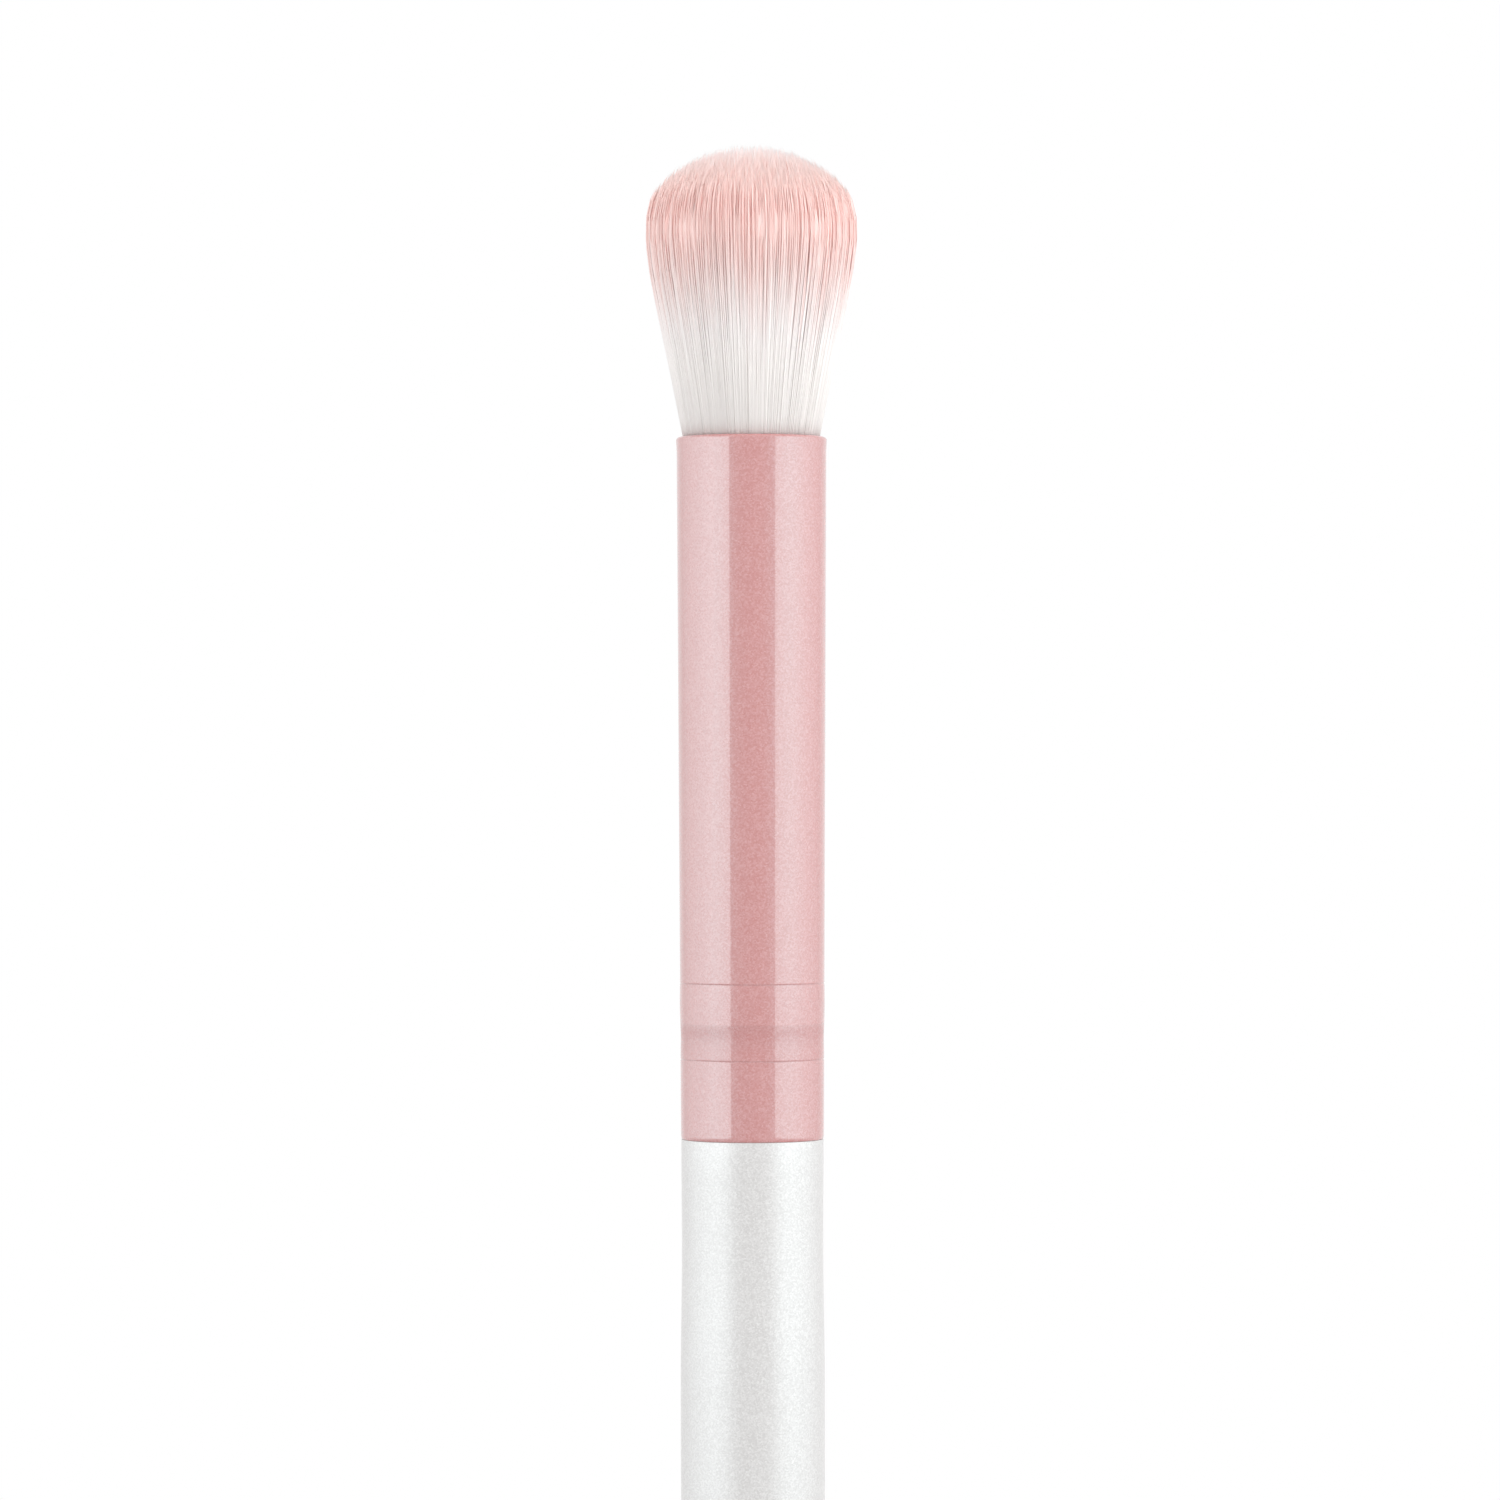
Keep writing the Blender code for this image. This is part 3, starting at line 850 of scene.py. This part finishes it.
def make_handle(lacquer, wood):
    """The handle: rounded butt with its flat, long taper, belly, waist, shoulder and tenon."""
    shoulder_height = FOOT - SEAT_TOUCH
    heights = np.linspace(BUTT_ROUND, shoulder_height - SHOULDER_CHAMFER, TAPER_STEPS)
    round_radius = handle_radius(np.array([BUTT_ROUND]))[0]
    butt_radii = (round_radius - BUTT_FLAT_RADIUS, BUTT_ROUND)
    butt = arc((BUTT_FLAT_RADIUS, BUTT_ROUND), butt_radii, -90, 0)
    side = np.stack([handle_radius(heights), heights], axis=-1)
    edge_centre = (SHOULDER_RADIUS - SHOULDER_CHAMFER, shoulder_height - SHOULDER_CHAMFER)
    shoulder = arc(edge_centre, SHOULDER_CHAMFER, 0, 90, EDGE_STEPS)
    lacquered = np.concatenate([butt, side[1:], shoulder[1:]])
    glue_floor = TENON_RADIUS - GLUE_GROOVE_DEPTH
    crimp_heights = np.linspace(FOOT_LAND, FOOT_LAND + GROOVE_LENGTH, ROUND_STEPS)
    pressed = crimped_radius(crimp_heights) - cone_radius(crimp_heights)
    crimp_seat = np.stack([TENON_RADIUS + np.minimum(pressed, 0), crimp_heights], axis=-1)
    tenon = np.array(
        [
            (TENON_RADIUS, GLUE_LOW),
            (glue_floor, GLUE_LOW + GLUE_GROOVE_DEPTH),
            (glue_floor, GLUE_HIGH - GLUE_GROOVE_DEPTH),
            (TENON_RADIUS, GLUE_HIGH),
            (TENON_RADIUS, TENON_TOP - FOOT - TENON_CHAMFER),
            (TENON_RADIUS - TENON_CHAMFER, TENON_TOP - FOOT),
        ]
    )
    bare = np.concatenate([[(TENON_RADIUS, -SEAT_TOUCH)], crimp_seat, tenon])
    bare[:, 1] += FOOT
    profile = np.concatenate([lacquered, bare])
    slots = np.where(np.arange(len(profile)) < len(lacquered), 0, 1)
    return turned("turned_handle", profile, [lacquer, wood], slots)


# Hair


def make_packed_roots(hair):
    """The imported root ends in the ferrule, with the groove of the tie and the foot in the resin."""
    groove = TIE_RADIUS - 2 * THREAD_RADIUS - ROOT_CLEARANCE
    foot = ROOT_RADIUS - RESIN_WALL - 2 * ROOT_CLEARANCE
    low, high = TIE_LOW - ROOT_CLEARANCE, TIE_HIGH + ROOT_CLEARANCE
    resin_top = RESIN_HIGH + ROOT_CLEARANCE
    profile = np.array(
        [
            (foot, ROOT_END),
            (foot, resin_top),
            (ROOT_RADIUS - ROOT_CLEARANCE, resin_top),
            (ROOT_RADIUS - ROOT_CLEARANCE, low),
            (groove, low),
            (groove, high),
            (ROOT_RADIUS - ROOT_CLEARANCE, high),
            (ROOT_RADIUS, MOUTH - ROOT_TOP_DEPTH),
        ]
    )
    return turned("packed_roots", profile, [hair], flutes=FLUTES, flute_depth=FLUTE_DEPTH)


def make_thread(material):
    """The binding thread: a helix whose height grows evenly with its angle, thin at its ends."""
    pitch = 2 * THREAD_RADIUS
    turns = (TIE_HIGH - TIE_LOW) / pitch - 1
    share = np.linspace(0, 1, int(turns * THREAD_STEPS) + 1)
    angle = share * turns * math.tau
    outward = np.stack([np.cos(angle), np.sin(angle), np.zeros_like(angle)], axis=-1)
    centres = outward * (TIE_RADIUS - THREAD_RADIUS)
    centres[:, 2] = TIE_LOW + THREAD_RADIUS + pitch * turns * share
    full = eased(np.minimum(share, 1 - share) * turns / THREAD_END_TURNS)
    radii = THREAD_RADIUS * (THREAD_END_SHARE + (1 - THREAD_END_SHARE) * full)
    return tube("thread_winding", centres, outward, radii, [material])


def scattered(count, power, uneven, rng):
    """Points of a unit disc, spread by the golden angle, with a little unevenness.

    A power of a half spreads them evenly, and one below it packs them closer at the rim.
    """
    number = np.arange(count) + 0.5
    share = (number / count) ** power
    points = directions(number * GOLDEN_ANGLE) * share[:, None]
    return points + rng.normal(0, uneven / math.sqrt(count), points.shape)


def nearest_clumps(roots, clumps):
    """The number of each root's nearest clump.

    The squared distance, less the part that is the same for every clump, picks it.
    """
    distance = (clumps**2).sum(-1) - 2 * roots @ clumps.T
    return distance.argmin(1)


def fan(share, along, length=1.0):
    """Height above the mouth, and the spread of the whole tuft there, for places on strands.

    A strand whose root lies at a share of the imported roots' radius ends on a superellipse dome, at
    the same share of the outermost tip's radius. On its way it fans out in a straight line and
    curls in by a high power of its length. Its radius is its share times the spread.
    """
    cut = 1 - (share * TIP_SHARE) ** DOME_POWER
    tip = (TUFT_LENGTH + DOME_LIFT - DOME_HEIGHT * (1 - cut ** (1 / DOME_POWER))) * length
    curl = ROOT_RADIUS + FAN_RISE * tip - DOME_RADIUS * TIP_SHARE
    height = tip * along
    return height, ROOT_RADIUS + FAN_RISE * height - curl * along**CURL_POWER


def shade_points(piece, shifts, tones):
    """Gives the points of a piece the two values that the hair's material reads."""
    for label, values in (("dye_shift", shifts), ("tone", tones)):
        attribute = piece.data.attributes.new(label, "FLOAT", "POINT")
        attribute.data.foreach_set("value", values.astype(np.float32).ravel())


def make_hair_body(material):
    """The dense body of the tuft under its outermost strands.

    Its side is the surface swept by strands at one share of the radius, up to a share of their
    length. A quarter of an ellipse turns over to its top, which is swept to the middle. Locks and
    single hairs are waves round it, each a sine of its own count with a phase that drifts with the
    height. Each column also has its own shade and dye, read from random knots up its height in
    straight runs and evened with its neighbours, and falls short by its own share of the length.
    All these differences die out towards the crown, as a power of the share.
    """
    rng = np.random.default_rng(SEED)
    side = np.linspace(0, BODY_SIDE_LENGTH_SHARE, BODY_SIDE_STEPS)
    turned_over = np.linspace(0, math.pi / 2, BODY_CORNER_STEPS)[1:]
    corner = BODY_SHARE - BODY_CORNER_SHARE * (1 - np.cos(turned_over))
    rise = (BODY_TOP_LENGTH_SHARE - BODY_SIDE_LENGTH_SHARE) * np.sin(turned_over)
    top = np.linspace(corner[-1], BODY_HOLE_SHARE, BODY_TOP_STEPS)[1:]
    share = np.concatenate([np.full(BODY_SIDE_STEPS, BODY_SHARE), corner, top])
    along = np.concatenate(
        [side, BODY_SIDE_LENGTH_SHARE + rise, np.full(len(top), BODY_TOP_LENGTH_SHARE)]
    )
    fall = rng.normal(0, BODY_LENGTH_UNEVEN, (BODY_COLUMNS, 1))
    kept = (share / BODY_SHARE) ** BODY_CROWN_POWER
    height, spread = fan(share, along * (1 - np.abs(fall) * along**BODY_FALL_POWER * kept))
    angle = circle(BODY_COLUMNS)
    wave = np.zeros((BODY_COLUMNS, len(share)))
    for count, depth in BODY_WAVES:
        phase = rng.uniform(0, math.tau)
        drift = rng.uniform(-1, 1) * BODY_WAVE_DRIFT
        wave += depth * np.sin(count * angle[:, None] + phase + drift * along)
    radius = share * spread + wave * np.minimum(kept, along / BODY_WAVE_RISE)
    own = rng.normal(0, 1, (2, BODY_COLUMNS, BODY_KNOTS))
    own = own + np.roll(own, 1, axis=1)
    place = np.linspace(0, BODY_KNOTS - 1, len(share))
    low = np.minimum(place.astype(int), BODY_KNOTS - 2)
    streaks = (own[..., low] + (own[..., low + 1] - own[..., low]) * (place - low)) * kept
    corners, sizes, uv, _ = side_faces(BODY_COLUMNS, np.linspace(0, SIDE_SHARE, len(share)))
    points = around(radius, angle, MOUTH + height)
    piece = mesh_piece("hair_body", points, corners, sizes, [material], uv=uv)
    tones = np.clip(TONE_MIDDLE + streaks[1] * BODY_TONE_UNEVEN, 0, 1)
    shade_points(piece, streaks[0] * DYE_UNEVEN, tones)
    return piece


def strand_paths(roots, centres, shortening, rng):
    """Centres of the strands' rings and tips, as (strand, ring, xyz).

    Each strand follows the fan at its own share, and falls short by its own part of the length,
    which grows towards the rim as a power of the share. Clumps draw their strands together and
    shorten them alike, and each strand sways and waves by itself, a loose one further. At the
    tuft's edge the sway runs round the tuft and hardly in or out.
    """
    along = np.array([*STRAND_SHARES, 1.0])
    share = np.minimum(np.linalg.norm(roots, axis=1), 1)
    uneven = LENGTH_UNEVEN + (RIM_LENGTH_UNEVEN - LENGTH_UNEVEN) * share**RIM_POWER
    length = 1 - np.abs(rng.normal(0, 1, len(roots))) * uneven - shortening
    height, spread = fan(share[:, None], along, length[:, None])

    pull = CLUMP_PULL * eased(along / CLUMP_FULL_AT) * (1 - CLUMP_RELEASE * along**2)
    place = roots[:, None] + (centres - roots)[:, None] * pull[:, None]
    flat = place * spread[..., None]

    loose = 1 + LOOSE_SWAY * (rng.random((len(roots), 1, 1)) < LOOSE_SHARE)
    drift = rng.normal(0, SWAY, (len(roots), 1, 2)) * loose * along[:, None] ** SWAY_POWER
    turns = rng.uniform(*WAVE_TURNS, (len(roots), 1, 1))
    phase = rng.uniform(0, math.tau, (len(roots), 1, 2))
    wave = WAVE * np.sin(math.tau * turns * along[:, None] + phase) * along[:, None]
    sway = drift + wave
    outward = (roots / np.linalg.norm(roots, axis=1)[:, None])[:, None]
    away = (sway * outward).sum(-1, keepdims=True)
    hold = EDGE_HOLD * share[:, None, None]
    flat = flat + sway - away * hold * outward

    rise = MOUTH - STRAND_START_DEPTH * (1 - along) ** STRAND_START_POWER + height
    return np.concatenate([flat, rise[..., None]], axis=-1)


def strand_radii(rng):
    """Radii of the strands' rings: even up to a share of the length, then eased to the tip's."""
    along = np.array(STRAND_SHARES)
    thinned = eased((along - STRAND_TAPER_FROM) / (1 - STRAND_TAPER_FROM))
    own = STRAND_RADIUS * (1 + STRAND_UNEVEN * rng.uniform(-1, 1, STRAND_COUNT))
    return own[:, None] * (1 - (1 - STRAND_TIP_SHARE) * thinned)


def strand_faces():
    """Corners, sizes and UV of one strand: quads between its rings, a pointed tip and a lid."""
    rings, sides = len(STRAND_SHARES), STRAND_SIDES
    quads, column, row = grid_faces(sides, rings, False)
    turn = np.arange(sides)
    beside = (turn + 1) % sides
    tip = np.full(sides, sides * rings)
    points = np.stack([turn * rings + rings - 1, beside * rings + rings - 1, tip], axis=-1)
    corners = np.concatenate([quads.ravel(), points.ravel(), turn[::-1] * rings])
    sizes = np.concatenate([np.full(len(quads), 4), np.full(sides, 3), [sides]])
    along = np.array(STRAND_SHARES)
    point_u = np.stack([turn, turn + 1, turn + 0.5], axis=-1) / sides
    point_v = np.broadcast_to([along[-1], along[-1], 1.0], (sides, 3))
    point_uv = np.stack([point_u, point_v], axis=-1).reshape(-1, 2)
    lid_uv = np.stack([CELL_LID_U, CELL_LID_V], axis=-1)
    return corners, sizes, np.concatenate([quad_uv(sides, column, row, along), point_uv, lid_uv])


def strand_piece(name, centres, radii, twist, shifts, tones, material):
    """Strands as one mesh.

    The ring point at angle a lies at the centre plus its radius times (cos a, sin a), and the
    rings are turned by each strand's own twist.
    """
    count, rings = len(centres), len(STRAND_SHARES)
    angle = twist[:, None, None] + circle(STRAND_SIDES)[:, None]
    ring = radii[:, None, :, None] * directions(angle)
    ring = np.concatenate([ring, np.zeros((*ring.shape[:-1], 1))], axis=-1)
    body = (centres[:, None, :rings] + ring).reshape(count, -1, 3)
    points = np.concatenate([body, centres[:, None, -1]], axis=1)
    each = points.shape[1]
    corners, sizes, uv = strand_faces()
    first = np.arange(count)[:, None] * each
    columns = math.ceil(math.sqrt(count * CELL_TALLNESS))
    rows = math.ceil(count / columns)
    cell = np.stack([np.arange(count) % columns, np.arange(count) // columns], axis=-1)
    placed_uv = (cell[:, None] + CELL_START + uv * CELL_SPAN) / [columns, rows]
    piece = mesh_piece(
        name,
        points.reshape(-1, 3),
        (first + corners).ravel(),
        np.tile(sizes, count),
        [material],
        uv=placed_uv.reshape(-1, 2),
    )
    shade_points(piece, np.repeat(shifts, each), np.repeat(tones, each))
    return piece


def make_hair(material):
    """The tuft's strands, in pieces from the middle out."""
    rng = np.random.default_rng(SEED)
    roots = scattered(STRAND_COUNT, ROOT_POWER, ROOT_UNEVEN, rng)
    clumps = scattered(CLUMPS, CLUMP_POWER, CLUMP_UNEVEN, rng)
    nearest = nearest_clumps(roots, clumps)
    shortening = np.abs(rng.normal(0, CLUMP_LENGTH_UNEVEN, CLUMPS))[nearest]
    centres = strand_paths(roots, clumps[nearest], shortening, rng)
    radii = strand_radii(rng)
    twist = rng.uniform(0, math.tau, STRAND_COUNT)
    stray = rng.random(STRAND_COUNT) < DYE_STRAY_SHARE
    shifts = rng.normal(0, DYE_UNEVEN, STRAND_COUNT)
    shifts += rng.normal(0, CLUMP_DYE_UNEVEN, CLUMPS)[nearest]
    shifts += stray * rng.normal(0, DYE_STRAY, STRAND_COUNT)
    tones = rng.normal(TONE_MIDDLE, TONE_UNEVEN, STRAND_COUNT)
    tones = np.clip(tones + rng.normal(0, CLUMP_TONE_UNEVEN, CLUMPS)[nearest], 0, 1)
    order = np.argsort(np.linalg.norm(roots, axis=1))
    values = (centres, radii, twist, shifts, tones)
    return [
        strand_piece(name, *(value[chosen] for value in values), material)
        for name, chosen in zip(STRAND_PIECES, np.array_split(order, len(STRAND_PIECES)))
    ]


# Studio


def make_camera():
    """The camera on the photograph's level, turned by the slight lean of the brush in it."""
    data = bpy.data.cameras.new("camera")
    data.sensor_width = SENSOR_WIDTH
    data.lens = SENSOR_WIDTH * CAMERA_DISTANCE / (PICTURE_SIDE * PIXEL)
    camera = bpy.data.objects.new("camera", data)
    bpy.context.scene.collection.objects.link(camera)
    middle = PICTURE_SIDE / 2
    lean = (AXIS_COLUMN_AT_BOTTOM - AXIS_COLUMN_AT_TIP) / (PICTURE_SIDE - TIP_ROW)
    axis_column = AXIS_COLUMN_AT_TIP + lean * (middle - TIP_ROW)
    height = TIP - (middle - TIP_ROW) * PIXEL
    camera.location = (-(axis_column - middle) * PIXEL, -CAMERA_DISTANCE, height)
    camera.rotation_euler = (math.pi / 2, math.atan(lean), 0)
    bpy.context.scene.camera = camera


def area_lamp(name, shape, degrees_right, degrees_up, distance, aim):
    """An area lamp that the camera doesn't see. It looks at a height on the brush's axis."""
    turn, angle = math.radians(degrees_right), math.radians(degrees_up)
    data = bpy.data.lights.new(name, "AREA")
    data.shape = shape
    lamp = bpy.data.objects.new(name, data)
    lamp.location = (
        distance * math.cos(angle) * math.sin(turn),
        -distance * math.cos(angle) * math.cos(turn),
        aim + distance * math.sin(angle),
    )
    lamp.rotation_euler = (math.pi / 2 - angle, 0, turn)
    lamp.visible_camera = False
    bpy.context.scene.collection.objects.link(lamp)
    return lamp, data


def softbox(name, start_degrees, end_degrees, level, colour):
    """An upright rectangular lamp that spans two directions, counted from the camera's to +X.

    It is even for a share of its width from its start. From there to its end it fades to nothing,
    as a power of the way left. It only makes reflections, and the plain light comes from the rest.
    """
    half = math.radians(abs(end_degrees - start_degrees) / 2)
    width = 2 * SOFTBOX_DISTANCE * math.tan(half)
    height = SOFTBOX_TOP - SOFTBOX_BOTTOM
    middle = (start_degrees + end_degrees) / 2
    aim = (SOFTBOX_BOTTOM + SOFTBOX_TOP) / 2
    lamp, data = area_lamp(name, "RECTANGLE", middle, 0, SOFTBOX_DISTANCE, aim)
    lamp.visible_diffuse = False
    data.size = width
    data.size_y = height
    data.energy = level * math.pi * width * height
    data.color = colour
    data.use_nodes = True
    tree = data.node_tree
    place = tree.nodes.new("ShaderNodeNewGeometry").outputs["Parametric"]
    start, end = SOFTBOX_EVEN_SHARE, 1.0
    if end_degrees < start_degrees:
        start, end = 1 - start, 1 - end
    left = ranged(tree, coordinate(tree, place, "X"), (start, end), (1.0, 0.0))
    fade = math_node(tree, "POWER", left, SOFTBOX_FADE_POWER)
    tree.links.new(fade, tree.nodes["Emission"].inputs["Strength"])


def round_lamp(name, degrees_right, degrees_up, distance, diameter, level):
    """A round lamp on the camera's side that looks at the tuft and shows in no reflection."""
    aim = (MOUTH + TIP) / 2
    lamp, data = area_lamp(name, "DISK", degrees_right, degrees_up, distance, aim)
    lamp.visible_glossy = False
    data.size = diameter
    data.energy = level * math.pi * math.pi * (diameter / 2) ** 2


def make_floor():
    """A round pale floor under the butt, which fades into the white background at its rim."""
    material, tree, shader, place = new_material(
        "studio_floor", Base_Color=linear(*FLOOR_COLOUR), Roughness=FLOOR_ROUGHNESS
    )
    length = add(tree, "ShaderNodeVectorMath", ((0, place),), operation="LENGTH")
    fade = ranged(
        tree,
        length.outputs["Value"],
        (FLOOR_FADE_FROM, FLOOR_RADIUS),
        interpolation_type="SMOOTHSTEP",
    )
    clear = tree.nodes.new("ShaderNodeBsdfTransparent")
    mix = add(
        tree,
        "ShaderNodeMixShader",
        (("Fac", fade), (1, shader.outputs[0]), (2, clear.outputs[0])),
    )
    tree.links.new(mix.outputs[0], tree.nodes["Material Output"].inputs["Surface"])
    points = around(np.full((SIDES, 1), FLOOR_RADIUS), circle(SIDES), -FLOOR_DEPTH)
    floor = mesh_piece("studio_floor", points, np.arange(SIDES), np.array([SIDES]), [material])


def make_world():
    """White where the camera, gloss or glass looks, and a plain fill for everything else."""
    world = bpy.data.worlds.new("studio_world")
    world.use_nodes = True
    tree = world.node_tree
    background = tree.nodes["Background"]
    path = tree.nodes.new("ShaderNodeLightPath")
    seen = math_node(
        tree, "MAXIMUM", path.outputs["Is Camera Ray"], path.outputs["Is Glossy Ray"]
    )
    seen = math_node(tree, "MAXIMUM", seen, path.outputs["Is Transmission Ray"])
    level = ranged(tree, seen, target=(FILL_LEVEL, 1.0))
    background.inputs["Color"].default_value = (1, 1, 1, 1)
    tree.links.new(level, background.inputs["Strength"])
    bpy.context.scene.world = world


def make_studio():
    """Floor, background and lamps."""
    make_floor()
    make_world()
    for settings in SOFTBOXES:
        softbox(*settings)
    for settings in ROUND_LAMPS:
        round_lamp(*settings)
    scene = bpy.context.scene
    scene.view_settings.view_transform = "Standard"
    scene.cycles.max_bounces = LIGHT_BOUNCES
    scene.cycles.diffuse_bounces = LIGHT_BOUNCES


def dress(piece, slot, *nodes):
    """Puts a piece on the brush's one body and hides the nodes that it stands for. The slot is not
    used.
    """
    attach(piece, "root")
    if nodes:
        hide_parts(*nodes)


def main():
    make_camera()
    pearl = pearl_grain_group()
    fibre = fibre_group()
    metal = fibrous("drawn_aluminium", fibre, Metallic=1.0)
    dress(make_ferrule(pink_pearl_coat(pearl), metal), "ferrule_coat", "ferrule")
    handle = make_handle(white_pearl_lacquer(pearl), fibrous("turned_birch", fibre))
    dress(handle, "handle_lacquer", "handle")
    dress(make_packed_roots(fibrous("packed_hair", fibre)), "hair", "bristle_tuft")
    dress(make_thread(fibrous("binding_thread", fibre)), "thread", "root_tie")
    hair = dyed_hair()
    for piece in (make_hair_body(hair), *make_hair(hair)):
        dress(piece, "hair", "bristle_tuft")
    for node, name in (("resin_plug", "cured_resin"), ("tenon_glue", "cured_adhesive")):
        filler = grained(name, pearl, Coat_Weight=0.4)[0]
        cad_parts[node].data.materials.clear()
        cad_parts[node].data.materials.append(filler)
    make_studio()


main()
